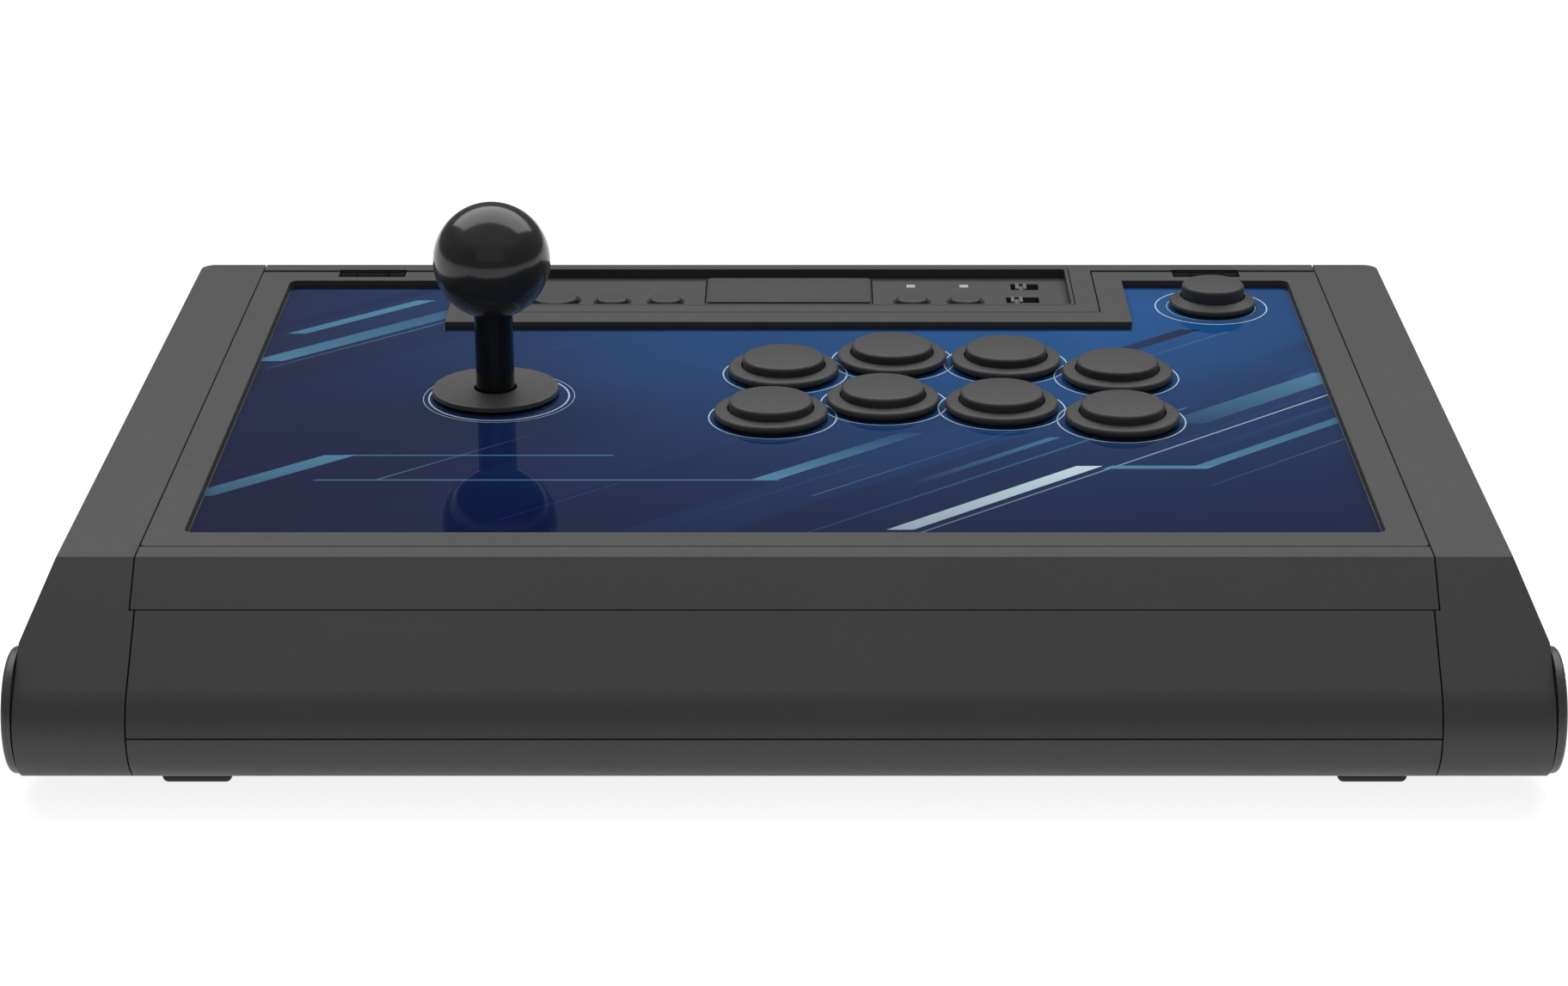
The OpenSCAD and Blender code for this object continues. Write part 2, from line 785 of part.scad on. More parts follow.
// Plunger: rounded cap, hollow skirt and a central stem
module plunger(p, r, top) {
  edge = 1.1;
  crown = 0.45;
  crown_r = ((r - edge) * (r - edge) + crown * crown) / (2 * crown);
  foot = 0.6 + press - switch_drop;
  color("#434345") translate([p.x, p.y, art_z]) {
    difference() {
      union() {
        translate([0, 0, -8]) cylinder(top - edge + 8, r, r);
        rotate_extrude() translate([0, top - edge]) {
          square([r - edge, edge]);
          intersection() {
            translate([r - edge, 0]) circle(edge);
            square([r, edge]);
          }
        }
        translate([0, 0, top - 0.01]) intersection() {
          translate([0, 0, crown - crown_r]) sphere(crown_r, $fn = 128);
          cylinder(crown + 1, r - edge, r - edge);
        }
      }
      translate([0, 0, -9]) cylinder(top + 6.5, r - 1.8, r - 1.8);
    }
    translate([0, 0, foot]) cylinder(top - 1.6 - foot, 3, 3);
  }
}

big_top = 5.25;
option_top = 7.15;

module plunger_1() { plunger(buttons[0], big_r[1], big_top); }
module plunger_2() { plunger(buttons[1], big_r[1], big_top); }
module plunger_3() { plunger(buttons[2], big_r[1], big_top); }
module plunger_4() { plunger(buttons[3], big_r[1], big_top); }
module plunger_5() { plunger(buttons[4], big_r[1], big_top); }
module plunger_6() { plunger(buttons[5], big_r[1], big_top); }
module plunger_7() { plunger(buttons[6], big_r[1], big_top); }
module plunger_8() { plunger(buttons[7], big_r[1], big_top); }
module option_plunger() { plunger(option_at, small_r[1], option_top); }

// ---- Stick ------------------------------------------------------------------

cavity_r = 10;
boss_r = 13;
trunnion_r = 1.2;
housing_half = 30;
housing_low = 13;
housing_top = plate_z - plate_t - 1.7;
gate_half = 8.5;
switch_x = 12.2;
land_r = 6;
land_z = ball_z - sqrt(ball_r * ball_r - land_r * land_r);

module at_stick(z) {
  translate([stick_at.x, stick_at.y, z]) children();
}

module stick_bracket() {
  under = plate_z - plate_t;
  color("#8a8c8f") slab(under - 1.6, under) translate(stick_at) difference() {
    rounded(-26, 26, -46, 46, 3);
    circle(14);
    for (x = [-20, 20], y = [-40, 40]) translate([x, y]) circle(1.6);
  }
}

// A round bar through the tilt centre, along X or turned by a
module cross_bar(r, x0, x1, a = 0) {
  rotate([0, 90, a]) translate([0, 0, x0]) cylinder(x1 - x0, r, r, $fn = 48);
}

// Housing with a round well for the gimbal, open at top and bottom
module stick_housing() {
  w = housing_half;
  low = pivot_z - 9;
  flare = pivot_z + 5;
  color("#202022") at_stick(0) difference() {
    union() {
      slab(housing_low, housing_top) difference() {
        rounded(-w, w, -w, w, 3);
        rounded(-w + 2.4, w - 2.4, -w + 2.4, w - 2.4, 1.5);
      }
      slab(housing_top - 2.5, housing_top) rounded(-w, w, -w, w, 3);
      translate([0, 0, low]) cylinder(housing_top - low, boss_r, boss_r);
    }
    translate([0, 0, low - 1]) cylinder(housing_top - low + 2, cavity_r, cavity_r);
    translate([0, 0, flare]) cylinder(housing_top - flare + 0.5, cavity_r, boss_r - 0.8);
    translate([0, 0, pivot_z]) cross_bar(trunnion_r + 0.05, -boss_r - 1, boss_r + 1);
  }
}

module stick_microswitches() {
  color("#2a2a2c") at_stick(14.2) for (a = [0, 90, 180, 270]) rotate(a) {
    translate([switch_x, -9.9, 0]) cube([10.2, 19.8, 6.4]);
    for (y = [-7, 0, 7]) translate([switch_x + 10, y - 1.6, 2.9]) cube([4.5, 3.2, 0.6]);
  }
}

module restrictor_gate() {
  color("#b9bcc0", 0.8) slab(housing_low - 3, housing_low) translate(stick_at) difference() {
    rounded(-housing_half, housing_half, -housing_half, housing_half, 3);
    rounded(-gate_half, gate_half, -gate_half, gate_half, 1);
  }
}

// Ring of the gimbal: it turns about X in the housing and carries the shaft's pivot
module gimbal_ring() {
  color("#e4e4de") at_stick(pivot_z) {
    difference() {
      translate([0, 0, -2.6]) cylinder(5.2, 9.2, 9.2);
      translate([0, 0, -5]) cylinder(10, 7.3, 7.3);
      cross_bar(trunnion_r + 0.05, -12, 12, 90);
    }
    for (a = [0, 180]) cross_bar(trunnion_r, 8.8, boss_r - 0.4, a);
  }
}

module stick_pivot() {
  color("#e4e4de") at_stick(pivot_z) difference() {
    union() {
      intersection() {
        sphere(6.6);
        translate([-10, -10, -4]) cube([20, 20, 8]);
      }
      for (a = [90, 270]) cross_bar(trunnion_r, 6, 8.9, a);
    }
    translate([0, 0, -10]) cylinder(20, shaft_r, shaft_r);
  }
}

module stick_shaft() {
  color("#b4b6b9") at_stick(0) {
    translate([0, 0, 10.6]) cylinder(ball_z - 14 - 10.6, shaft_r, shaft_r);
    translate([0, 0, ball_z - 14.5]) cylinder(20.5, 3, 3);
  }
}

module actuator() {
  color("#d9d9d2") at_stick(15) difference() {
    union() {
      cylinder(7.4, 8.1, 8.1);
      cylinder(0.8, 9, 9);
    }
    translate([0, 0, -1]) cylinder(12, shaft_r, shaft_r);
  }
}

module stick_spring() {
  color("#9a9c9f") at_stick(22.9) coil(5.25, 0.45, 6.6, 4);
}

module shaft_cover() {
  low = 45;
  color("#161618") at_stick(low) difference() {
    cylinder(land_z - 0.05 - low, sleeve_r, sleeve_r);
    translate([0, 0, -1]) cylinder(land_z, shaft_r, shaft_r);
  }
}

// Ball with a flat land for the sleeve's end and a threaded bore for the shaft
module ball_top() {
  color("#0c0c0e") at_stick(ball_z) difference() {
    sphere(ball_r, $fn = 160);
    translate([0, 0, -30]) cylinder(land_z - ball_z + 30, land_r, land_r);
    translate([0, 0, -30]) cylinder(16, shaft_r, shaft_r);
    translate([0, 0, -15]) cylinder(21.5, 3.05, 3.05);
  }
}

// Thin glide ring that lies between the clear cover and the dust washer
module slip_ring() {
  color("#151516") slab(art_z + 0.05, art_z + 0.35) translate(stick_at) difference() {
    circle(15.5);
    circle(10.5);
  }
}

module dust_washer() {
  edge = 0.35;
  hole = 6.5;
  color("#3f3f41") at_stick(art_z + 0.4) rotate_extrude() {
    translate([hole, 0]) square([dust[0] - hole, dust[1] - edge]);
    translate([hole, 0]) square([dust[0] - hole - edge, dust[1]]);
    translate([dust[0] - edge, dust[1] - edge]) circle(edge);
  }
}

base_shell();
rubber_feet();
base_screws();
lower_front_fascia();
upper_front_fascia();
left_side_housing();
right_side_housing();
end_rings();
rear_housing();
console_tray();
status_leds();
control_board();
board_switches();
usb_port();
headset_jack();
hinge_brackets();
hinge_pins();
release_springs();
left_release_button();
right_release_button();
home_button();
console_button_1();
console_button_2();
console_button_3();
console_button_4();
touch_pad();
mode_switch_knob();
lock_switch_knob();
lid_frame();
mounting_plate();
art_sheet();
clear_cover();
lid_hinge_arms();
lid_catches();
lid_screws();
button_bodies();
button_switches();
option_button_body();
plunger_1();
plunger_2();
plunger_3();
plunger_4();
plunger_5();
plunger_6();
plunger_7();
plunger_8();
option_plunger();
stick_bracket();
stick_housing();
stick_microswitches();
restrictor_gate();
gimbal_ring();
stick_shaft();
stick_pivot();
actuator();
stick_spring();
shaft_cover();
ball_top();
slip_ring();
dust_washer();
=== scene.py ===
"""Looks of the arcade joystick panel.

Materials, print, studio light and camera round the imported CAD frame.
"""

import json
import math

import bmesh
import bpy
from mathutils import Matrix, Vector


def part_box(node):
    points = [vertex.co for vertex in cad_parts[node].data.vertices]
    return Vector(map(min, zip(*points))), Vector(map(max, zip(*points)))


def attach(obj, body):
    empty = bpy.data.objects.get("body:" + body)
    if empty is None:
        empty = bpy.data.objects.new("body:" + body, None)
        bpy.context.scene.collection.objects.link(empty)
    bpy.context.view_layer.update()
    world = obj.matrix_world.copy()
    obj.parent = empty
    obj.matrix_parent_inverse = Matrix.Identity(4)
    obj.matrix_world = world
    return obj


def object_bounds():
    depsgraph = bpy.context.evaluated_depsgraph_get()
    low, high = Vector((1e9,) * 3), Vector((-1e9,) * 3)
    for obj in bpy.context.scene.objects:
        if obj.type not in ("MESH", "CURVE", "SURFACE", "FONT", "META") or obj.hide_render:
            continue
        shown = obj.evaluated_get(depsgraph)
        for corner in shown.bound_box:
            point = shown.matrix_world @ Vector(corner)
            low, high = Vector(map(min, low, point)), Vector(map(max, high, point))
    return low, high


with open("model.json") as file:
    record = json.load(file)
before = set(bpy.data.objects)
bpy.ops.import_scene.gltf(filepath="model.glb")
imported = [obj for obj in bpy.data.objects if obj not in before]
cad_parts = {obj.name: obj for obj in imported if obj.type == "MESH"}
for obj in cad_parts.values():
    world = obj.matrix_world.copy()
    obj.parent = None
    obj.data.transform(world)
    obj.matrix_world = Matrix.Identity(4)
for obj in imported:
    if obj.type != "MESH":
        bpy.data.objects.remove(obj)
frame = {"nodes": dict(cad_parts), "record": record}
cad_low, cad_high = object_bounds()

NODES = frame["nodes"]
MM = 0.001


# ---- Small helpers ---------------------------------------------------------------


def centre_of(node):
    """The middle of a CAD node's box at rest."""
    low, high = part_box(node)
    return (low + high) / 2


def grey(value, warm=0.0):
    """A neutral colour, a little warmer or cooler if asked."""
    return (value * (1 + warm), value, value * (1 - warm), 1.0)


class Look:
    """One material's node tree, with short calls for the nodes that repeat."""

    def __init__(self, name):
        self.material = bpy.data.materials.new(name)
        self.material.use_nodes = True
        self.tree = self.material.node_tree
        self.shader = self.tree.nodes["Principled BSDF"]
        self.output = self.tree.nodes["Material Output"]
        self.place = self.node("ShaderNodeTexCoord").outputs["Object"]

    def node(self, kind, **settings):
        made = self.tree.nodes.new(kind)
        for key, value in settings.items():
            setattr(made, key, value)
        return made

    def feed(self, socket, value):
        """Links a socket or sets a plain value."""
        if isinstance(value, bpy.types.NodeSocket):
            self.tree.links.new(value, socket)
        else:
            socket.default_value = value

    def math(self, operation, *values):
        made = self.node("ShaderNodeMath", operation=operation)
        for socket, value in zip(made.inputs, values):
            self.feed(socket, value)
        return made.outputs[0]

    def noise(self, size, detail=2.0, stretch=(1, 1, 1)):
        """Smooth noise from 0 to 1 whose blotches are about size metres across."""
        scaled = self.node("ShaderNodeMapping")
        self.feed(scaled.inputs["Vector"], self.place)
        scaled.inputs["Scale"].default_value = [s / size for s in stretch]
        made = self.node("ShaderNodeTexNoise")
        self.feed(made.inputs["Vector"], scaled.outputs[0])
        made.inputs["Scale"].default_value = 1.0
        made.inputs["Detail"].default_value = detail
        return made.outputs["Fac"]

    def spread(self, value, low, high, start=0.3, stop=0.7):
        """Value carried from start..stop to low..high."""
        made = self.node("ShaderNodeMapRange")
        ends = {"From Min": start, "From Max": stop, "To Min": low, "To Max": high}
        for key, number in {"Value": value, **ends}.items():
            self.feed(made.inputs[key], number)
        return made.outputs[0]

    def blend(self, share, first, second):
        """A mix of two colours."""
        made = self.node("ShaderNodeMix", data_type="RGBA")
        self.feed(made.inputs[0], share)
        self.feed(made.inputs[6], first)
        self.feed(made.inputs[7], second)
        return made.outputs[2]

    def soft_edges(self, radius):
        """A normal that rounds the model's sharp edges."""
        made = self.node("ShaderNodeBevel", samples=4)
        made.inputs["Radius"].default_value = radius
        return made.outputs[0]

    def bump(self, height, distance, strength=1.0, over=None):
        made = self.node("ShaderNodeBump")
        made.inputs["Strength"].default_value = strength
        made.inputs["Distance"].default_value = distance
        self.feed(made.inputs["Height"], height)
        if over is not None:
            self.feed(made.inputs["Normal"], over)
        return made.outputs[0]

    def set(self, **sockets):
        """Sets or links the shader's sockets, named with underscores for spaces."""
        for key, value in sockets.items():
            self.feed(self.shader.inputs[key.replace("_", " ")], value)


# ---- Materials -------------------------------------------------------------------

FLOW_SIZE = 38 * MM  # blotches left by the plastic's flow in the mould
DUST_SIZE = 3.1 * MM
ROUGH_SWING = 0.035  # how far dust moves a plastic's roughness either way
SCUFF = 0.05  # how much rougher handled glossy plastic gets
BRUSHED_DEPTH = 0.004 * MM
METAL_EDGE = 0.15 * MM
TRACK_PITCH = 4.5 * MM  # spacing of the board's copper tracks
TRACK_SHARE = 0.09


def moulded(name, tone, rough, grain=0.45, depth=0.02, edge=0.35, sheen=0.5):
    """Textured moulded plastic: spark-eroded grain, faint flow blotches and rounded edges.

    The lengths grain, depth and edge are in mm.
    """
    look = Look(name)
    flow = look.noise(FLOW_SIZE, 3.0)
    skin = look.noise(grain * MM, 3.0)
    dust = look.noise(DUST_SIZE, 4.0)
    tinted = look.blend(look.spread(flow, 0, 1), grey(tone * 0.95), grey(tone * 1.05, 0.004))
    speckled = look.blend(look.spread(skin, 0, 0.5), tinted, grey(tone * 1.18))
    normal = look.bump(skin, depth * MM, 0.7, look.soft_edges(edge * MM))
    look.set(
        Base_Color=speckled,
        Roughness=look.spread(dust, rough - ROUGH_SWING, rough + ROUGH_SWING),
        Normal=normal,
        Specular_IOR_Level=sheen,
    )
    return look.material


def polished(name, tone, rough, gloss=0.5):
    """Glossy moulded plastic with faint handling marks."""
    look = Look(name)
    haze = look.noise(9 * MM, 5.0)
    ripple = look.noise(6 * MM, 1.0)
    look.set(
        Base_Color=look.blend(look.spread(haze, 0, 1), grey(tone * 0.85, -0.02), grey(tone * 1.2, 0.02)),
        Roughness=look.spread(haze, rough, rough + SCUFF),
        Normal=look.bump(ripple, 0.004 * MM, 0.5),
        Specular_IOR_Level=gloss,
    )
    return look.material


def metal(name, colour, rough, grain_size, stretch):
    """Plated or ground metal with a directional grain. The grain size is in mm."""
    look = Look(name)
    lines = look.noise(grain_size * MM, 4.0, stretch)
    cloud = look.noise(22 * MM, 3.0)
    dark = [c * 0.82 for c in colour] + [1]
    light = [c * 1.06 for c in colour] + [1]
    look.set(
        Base_Color=look.blend(look.spread(cloud, 0, 1), dark, light),
        Metallic=1.0,
        Roughness=look.spread(lines, rough - 0.07, rough + 0.09),
        Normal=look.bump(lines, BRUSHED_DEPTH, 0.6, look.soft_edges(METAL_EDGE)),
    )
    return look.material


def rubber():
    """Soft black foot rubber with a dusty skin."""
    look = Look("rubber")
    dust = look.noise(2.4 * MM, 6.0)
    look.set(
        Base_Color=look.blend(look.spread(dust, 0, 1), grey(0.012), grey(0.026, 0.02)),
        Roughness=look.spread(dust, 0.72, 0.9),
        Normal=look.bump(look.noise(0.5 * MM, 3.0), 0.03 * MM, 0.8),
    )
    return look.material


def solder_mask():
    """Green board lacquer over a net of copper tracks."""
    look = Look("solder_mask")
    cells = look.node("ShaderNodeTexVoronoi", feature="DISTANCE_TO_EDGE", distance="MANHATTAN")
    look.feed(cells.inputs["Vector"], look.place)
    cells.inputs["Scale"].default_value = 1 / TRACK_PITCH
    track = look.math("LESS_THAN", cells.outputs["Distance"], TRACK_SHARE)
    look.set(
        Base_Color=look.blend(track, (0.006, 0.07, 0.022, 1), (0.02, 0.16, 0.05, 1)),
        Roughness=look.spread(look.noise(2 * MM), 0.28, 0.4),
        Normal=look.bump(track, 0.03 * MM),
    )
    return look.material


def lamp_window():
    """Milky light pipe of a lamp that is off."""
    look = Look("lamp_window")
    milk = look.noise(1.1 * MM, 2.0)
    colour = look.blend(look.spread(milk, 0, 1), (0.40, 0.41, 0.42, 1), (0.50, 0.51, 0.52, 1))
    look.set(Base_Color=colour, Roughness=0.35)
    return look.material


HEAD_ON_MIRROR = 0.03  # share that clear acrylic mirrors when seen square on
GRAZING_MIRROR = 0.9  # what is added to it towards a grazing view


def clear_sheet():
    """Clear acrylic that doesn't bend light. Its front mirrors the room, more so at a slant."""
    look = Look("clear_sheet")
    tree = look.tree
    smear = look.noise(45 * MM, 4.0)
    mirror = look.node("ShaderNodeBsdfGlossy")
    mirror.inputs["Color"].default_value = (1, 1, 1, 1)
    look.feed(mirror.inputs["Roughness"], look.spread(smear, 0.02, 0.05))
    through = look.node("ShaderNodeBsdfTransparent")
    through.inputs["Color"].default_value = (0.97, 0.985, 0.99, 1)
    facing = look.node("ShaderNodeLayerWeight")
    facing.inputs["Blend"].default_value = 0.5
    steep = look.math("POWER", facing.outputs["Facing"], 5.0)
    share = look.math("MULTIPLY_ADD", steep, GRAZING_MIRROR, HEAD_ON_MIRROR)
    front = look.math("SUBTRACT", 1.0, look.node("ShaderNodeNewGeometry").outputs["Backfacing"])
    mixed = look.node("ShaderNodeMixShader")
    look.feed(mixed.inputs[0], look.math("MULTIPLY", share, front))
    tree.links.new(through.outputs[0], mixed.inputs[1])
    tree.links.new(mirror.outputs[0], mixed.inputs[2])
    tree.links.new(mixed.outputs[0], look.output.inputs["Surface"])
    tree.nodes.remove(look.shader)
    return look.material


# Plain slanted streaks of the printed sheet. Each has the x at which its middle line crosses
# y = 0, its width along x, the y of its near and far end (all in mm), its strength at those
# two ends and its colour.
SLANT = math.radians(42)
DEEP = (0.001, 0.006, 0.060, 1)
DUSK = (0.006, 0.003, 0.034, 1)
MID = (0.008, 0.080, 0.25, 1)
PALE = (0.095, 0.27, 0.42, 1)
WHITE = (0.60, 0.74, 0.80, 1)
STREAKS = [
    # wide soft bands that set the depth of the background
    (-20, 46, -95, 60, 0.0, 0.12, MID),
    (66, 30, -95, 132, 0.1, 0.3, MID),
    (118, 24, -70, 40, 0.0, 0.6, DUSK),
    (-205, 26, -60, 90, 0.5, 0.2, DUSK),
    (-262, 9, 60, 132, 0.8, 0.5, DEEP),
    (30, 7, 40, 88, 0.4, 0.9, DUSK),
    (160, 5, 60, 78, 0.9, 0.6, DUSK),
    # lit streaks
    (-225, 10, 57, 108, 0.75, 0.35, PALE),
    (-249, 6, 84, 118, 0.7, 0.9, PALE),
    (-99, 9, -60, -27, 0.35, 0.85, PALE),
    (46, 7.5, -47, -8, 0.9, 0.12, PALE),
    (92, 3.5, -52, -12, 0.0, 0.6, PALE),
    (119, 26, -30, 60, 0.0, 0.45, MID),
    (127, 7.5, -86, -36, 0.55, 1.0, WHITE),
    (160, 5.5, -38, 10, 0.8, 0.5, PALE),
    (117, 13, 0, 46, 0.15, 0.75, PALE),
    (146, 3, -24, 40, 0.1, 0.55, MID),
    (98, 8, 84, 92, 0.8, 0.8, PALE),
    # fine lines beside them
    (-216, 1.2, 50, 126, 0.2, 0.7, PALE),
    (-190, 0.8, 62, 120, 0.1, 0.5, MID),
    (-150, 1.0, 20, 86, 0.0, 0.5, MID),
    (-120, 0.9, -74, -8, 0.5, 0.0, MID),
    (-64, 1.0, -47, -6, 0.6, 0.0, PALE),
    (8, 0.8, -94, -50, 0.0, 0.55, MID),
    (60, 1.0, -90, -34, 0.0, 0.6, MID),
    (74, 0.8, -60, 8, 0.5, 0.1, PALE),
    (104, 1.2, -92, 14, 0.1, 0.6, PALE),
    (135, 1.0, -90, 52, 0.2, 0.75, WHITE),
    (178, 0.8, -52, 30, 0.2, 0.6, PALE),
    (20, 1.0, 60, 88, 0.2, 0.6, MID),
    (44, 0.8, 56, 86, 0.2, 0.6, PALE),
    (140, 6, 62, 98, 0.1, 0.6, DEEP),
    (84, 12, 58, 84, 0.0, 0.5, DEEP),
    (30, 5, -94, -60, 0.6, 0.0, DEEP),
    (-84, 14, -94, -62, 0.5, 0.0, DEEP),
]
# Thin level lines that join streaks: y, thickness, left end, right end (all in mm), strength.
# Their ends are cut along the slant.
LINES = [
    (-27.2, 0.8, -128, -50, 0.75),
    (-47.4, 0.9, -134, -2, 0.65),
    (-37.0, 2.6, 92, 122, 0.85),
]
GLOW_MIDDLE = (60, 130)  # x and y of the print's lightest spot, in mm
GLOW_REACH = (150, 140)  # how far it fades along x and y, in mm
GLOW = (0.007, 0.112, 0.35, 1)
NIGHT = (0.002, 0.0015, 0.036, 1)
CLOUD_SIZE = 70 * MM
DOT_SIZE = 0.35 * MM
DOT_SHARE = 0.012


def printed_sheet():
    """The blue printed insert: a soft gradient, slanted streaks and thin joining lines."""
    look = Look("printed_sheet")
    axes = look.node("ShaderNodeSeparateXYZ")
    look.feed(axes.inputs[0], look.place)
    x = look.math("DIVIDE", axes.outputs["X"], MM)
    y = look.math("DIVIDE", axes.outputs["Y"], MM)
    across = look.math("MULTIPLY_ADD", y, -1 / math.tan(SLANT), x)

    wide, deep = (
        look.math("POWER", look.math("DIVIDE", look.math("SUBTRACT", along, spot), reach), 2)
        for along, spot, reach in zip((x, y), GLOW_MIDDLE, GLOW_REACH)
    )
    glow = look.math("EXPONENT", look.math("MULTIPLY", look.math("ADD", wide, deep), -1))
    colour = look.blend(glow, NIGHT, GLOW)
    cloud = look.noise(CLOUD_SIZE, 4.0)
    colour = look.blend(look.spread(cloud, 0, 0.35), colour, DEEP)

    for middle, width, near, far, near_strength, far_strength, ink in STREAKS:
        inside = look.math("COMPARE", across, middle, width / 2)
        ends = look.math("COMPARE", y, (near + far) / 2, (far - near) / 2)
        strength = look.spread(y, near_strength, far_strength, near, far)
        share = look.math("MULTIPLY", look.math("MULTIPLY", inside, ends), strength)
        colour = look.blend(share, colour, ink)
    for level, thick, left, right, strength in LINES:
        inside = look.math("COMPARE", y, level, thick / 2)
        middle = (left + right) / 2 - level / math.tan(SLANT)
        ends = look.math("COMPARE", across, middle, (right - left) / 2)
        share = look.math("MULTIPLY", look.math("MULTIPLY", inside, ends), strength)
        colour = look.blend(share, colour, PALE)

    dots = look.noise(DOT_SIZE, 1.0)
    look.set(
        Base_Color=look.blend(look.spread(dots, 0, DOT_SHARE), colour, WHITE),
        Roughness=look.spread(cloud, 0.45, 0.6),
        Specular_IOR_Level=0.0,
    )
    return look.material


def ring_ink_and_highlight():
    """Pale ink of the thin rings round the controls. The same pale colour on the inner option ring is a
    painted highlight of the lit edge of the cover's hole.
    """
    look = Look("ring_ink_and_highlight")
    grain = look.noise(0.3 * MM, 2.0)
    look.set(
        Base_Color=look.blend(look.spread(grain, 0, 1), (0.52, 0.66, 0.84, 1), (0.66, 0.78, 0.92, 1)),
        Roughness=0.5,
        Specular_IOR_Level=0.0,
    )
    return look.material


LOOKS = {
    "shell": moulded("case_plastic", 0.040, 0.55, sheen=0.36),
    "trim": moulded("trim_plastic", 0.034, 0.42, grain=0.6, depth=0.008),
    "rubber": rubber(),
    "steel": metal("zinc_steel", (0.46, 0.47, 0.48), 0.38, 1.2, (1, 14, 14)),
    "hinge_black": moulded("black_zinc", 0.004, 0.75, grain=0.6, depth=0.006, edge=0.15, sheen=0.08),
    "shaft_steel": metal("ground_steel", (0.60, 0.61, 0.63), 0.2, 0.5, (1, 1, 9)),
    "board": solder_mask(),
    "light_part": moulded("natural_nylon", 0.62, 0.5, grain=0.8, depth=0.01, edge=0.2),
    "switch_black": moulded("switch_plastic", 0.022, 0.42, grain=0.7, depth=0.01, edge=0.2),
    "lamp": lamp_window(),
    "artwork": printed_sheet(),
    "clear": clear_sheet(),
    "button_plastic": moulded(
        "button_plastic", 0.034, 0.50, grain=0.55, depth=0.014, edge=0.25, sheen=0.36
    ),
    "ball_plastic": polished("ball_plastic", 0.022, 0.12, gloss=0.42),
    "sleeve_plastic": polished("sleeve_plastic", 0.006, 0.10),
    "washer_plastic": moulded("washer_plastic", 0.038, 0.44, grain=0.5, depth=0.010, edge=0.15),
    "gate_plastic": polished("gate_plastic", 0.55, 0.15),
}
KNOB_LOOK = moulded("knob_plastic", 0.11, 0.45, edge=0.15)

for part in frame["record"]["subparts"]:
    NODES[part["node"]].data.materials[0] = LOOKS[part["material_slot"]]
for knob in ("mode_switch_knob", "lock_switch_knob"):
    NODES[knob].data.materials[0] = KNOB_LOOK


# ---- Print round the controls, and one painted highlight ring --------------------

RING_HEIGHT = 0.03 * MM
RING_STEPS = 144
# Radius and width of the rings, in mm
BUTTON_RING = (19.0, 0.4)
# The option button's second ring, 14.3 mm round, is a painted highlight standing for the lit edge of the
# clear cover's hole, not print.
OPTION_RING_AND_HIGHLIGHT = ((17.95, 0.4), (14.3, 0.22))
STICK_RINGS = ((21.1, 0.5), (22.75, 0.2))
# How far the rings lie towards the player from the middle of their control
BUTTONS_NEARER = -1.2 * MM
STICK_NEARER = 1.2 * MM
PRINT_SCALE = 0.9935
PRINT_SHIFT = 0.5 * MM


def add_ring(mesh, centre, radius, width, low):
    """A flat ring, thin but closed, for the print and for the one painted highlight ring."""
    loops = []
    for side, z in ((-0.5, 0), (0.5, 0), (0.5, RING_HEIGHT), (-0.5, RING_HEIGHT)):
        reach = radius + side * width
        turns = (2 * math.pi * k / RING_STEPS for k in range(RING_STEPS))
        round_it = [(centre.x + reach * math.cos(t), centre.y + reach * math.sin(t)) for t in turns]
        loops.append([mesh.verts.new((x, y, low + z)) for x, y in round_it])
    for a, b in zip(loops, loops[1:] + loops[:1]):
        for k in range(RING_STEPS):
            n = (k + 1) % RING_STEPS
            mesh.faces.new((a[k], a[n], b[n], b[k]))


def ring_centre(node, nearer=0.0):
    """Where the print puts a control's ring, on a print a touch narrower than the panel. The painted
    highlight ring round the option button is placed the same way.
    """
    place = centre_of(node)
    place.x = place.x * PRINT_SCALE + PRINT_SHIFT
    place.y -= nearer
    return place


def control_rings():
    """The printed rings round the eight buttons, the option button and the stick, plus a painted highlight
    ring just outside the option button's rim, as one piece.
    """
    mesh = bmesh.new()
    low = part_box("art_sheet")[1].z
    buttons = [(ring_centre(f"plunger_{k}", BUTTONS_NEARER), BUTTON_RING) for k in range(1, 9)]
    option = [(ring_centre("option_plunger"), ring) for ring in OPTION_RING_AND_HIGHLIGHT]
    stick = [(ring_centre("dust_washer", STICK_NEARER), ring) for ring in STICK_RINGS]
    for centre, (radius, width) in buttons + option + stick:
        add_ring(mesh, centre, radius * MM, width * MM, low)
    bmesh.ops.recalc_face_normals(mesh, faces=mesh.faces)
    data = bpy.data.meshes.new("control_rings")
    mesh.to_mesh(data)
    mesh.free()
    data.materials.append(ring_ink_and_highlight())
    rings = bpy.data.objects.new("control_rings", data)
    bpy.context.scene.collection.objects.link(rings)
    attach(rings, "lid")


control_rings()


# ---- Floor, light and camera -----------------------------------------------------


FLOOR_REACH = 30.0  # metres from the middle to each edge
FLOOR_GLOW = 0.85
SKY_RISE = (0.42, 0.78)  # upward part of a direction where the ceiling light begins and is full


def add_floor():
    """A large pale floor under the feet. It glows like a light table, so that shadows stay faint."""
    corners = [(x * FLOOR_REACH, y * FLOOR_REACH, 0) for x, y in ((-1, -1), (1, -1), (1, 1), (-1, 1))]
    mesh = bpy.data.meshes.new("floor")
    mesh.from_pydata(corners, [], [(0, 1, 2, 3)])
    floor = bpy.data.objects.new("floor", mesh)
    bpy.context.scene.collection.objects.link(floor)
    look = Look("pale_floor")
    mottle = look.noise(0.4, 3.0)
    look.set(
        Base_Color=look.blend(look.spread(mottle, 0, 1), grey(0.40), grey(0.42)),
        Roughness=0.9,
        Specular_IOR_Level=0.2,
        Emission_Color=grey(1.0),
        Emission_Strength=FLOOR_GLOW,
    )
    mesh.materials.append(look.material)


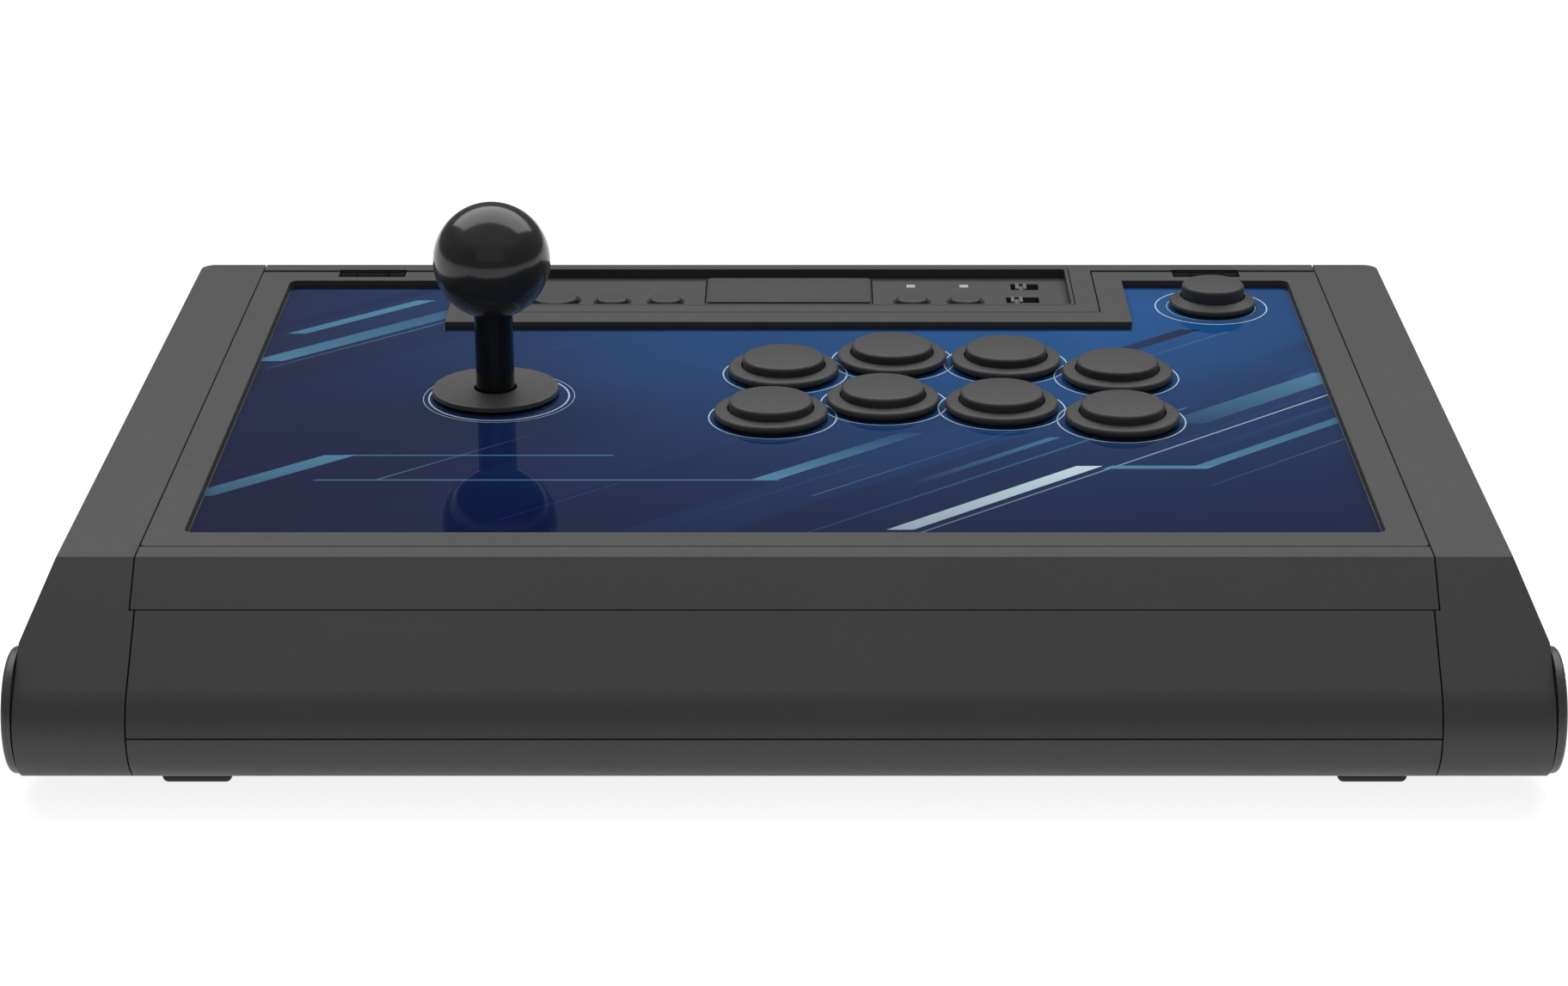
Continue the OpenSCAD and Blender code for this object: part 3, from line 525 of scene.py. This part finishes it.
def studio_sky(horizon, ceiling):
    """A dim room that brightens smoothly towards the ceiling."""
    world = bpy.data.worlds.new("studio")
    bpy.context.scene.world = world
    world.use_nodes = True
    tree = world.node_tree
    place = tree.nodes.new("ShaderNodeTexCoord")
    axes = tree.nodes.new("ShaderNodeSeparateXYZ")
    rise = tree.nodes.new("ShaderNodeMapRange")
    rise.interpolation_type = "SMOOTHSTEP"
    back = tree.nodes["Background"]
    tree.links.new(place.outputs["Generated"], axes.inputs[0])
    tree.links.new(axes.outputs["Z"], rise.inputs["Value"])
    begins, full = SKY_RISE
    for key, value in (("From Min", begins), ("From Max", full), ("To Min", horizon), ("To Max", ceiling)):
        rise.inputs[key].default_value = value
    tree.links.new(rise.outputs[0], back.inputs["Strength"])
    back.inputs["Color"].default_value = (1, 1, 1, 1)


def softbox(name, place, aim, width, height, power):
    """A rectangular lamp aimed at a point. Sizes in metres, power in watts."""
    lamp = bpy.data.lights.new(name, "AREA")
    lamp.shape = "RECTANGLE"
    lamp.size = width
    lamp.size_y = height
    lamp.energy = power
    made = bpy.data.objects.new(name, lamp)
    bpy.context.scene.collection.objects.link(made)
    made.location = place
    direction = made.location - aim
    made.rotation_euler = direction.to_track_quat("Z", "Y").to_euler()


def add_camera():
    """The view from the player's side, looking about 21 degrees down on the panel."""
    lens = bpy.data.cameras.new("camera")
    lens.sensor_width = 36.0
    lens.lens = 85.78
    lens.shift_x = -0.01566
    lens.clip_start = 0.05
    lens.clip_end = 100
    camera = bpy.data.objects.new("camera", lens)
    bpy.context.scene.collection.objects.link(camera)
    camera.location = (0.0064, -1.0403, 0.430)
    camera.rotation_euler = (math.radians(69.11), 0, 0)
    bpy.context.scene.camera = camera


add_floor()
studio_sky(horizon=0.15, ceiling=0.42)
middle = (cad_low + cad_high) / 2
softbox("key", place=(0.0, 0.82, 1.4), aim=middle, width=3.2, height=1.5, power=38)
softbox("fill", place=(0.0, -2.2, 1.1), aim=middle, width=2.4, height=0.9, power=1.4)
add_camera()
bpy.context.scene.view_settings.view_transform = "Standard"
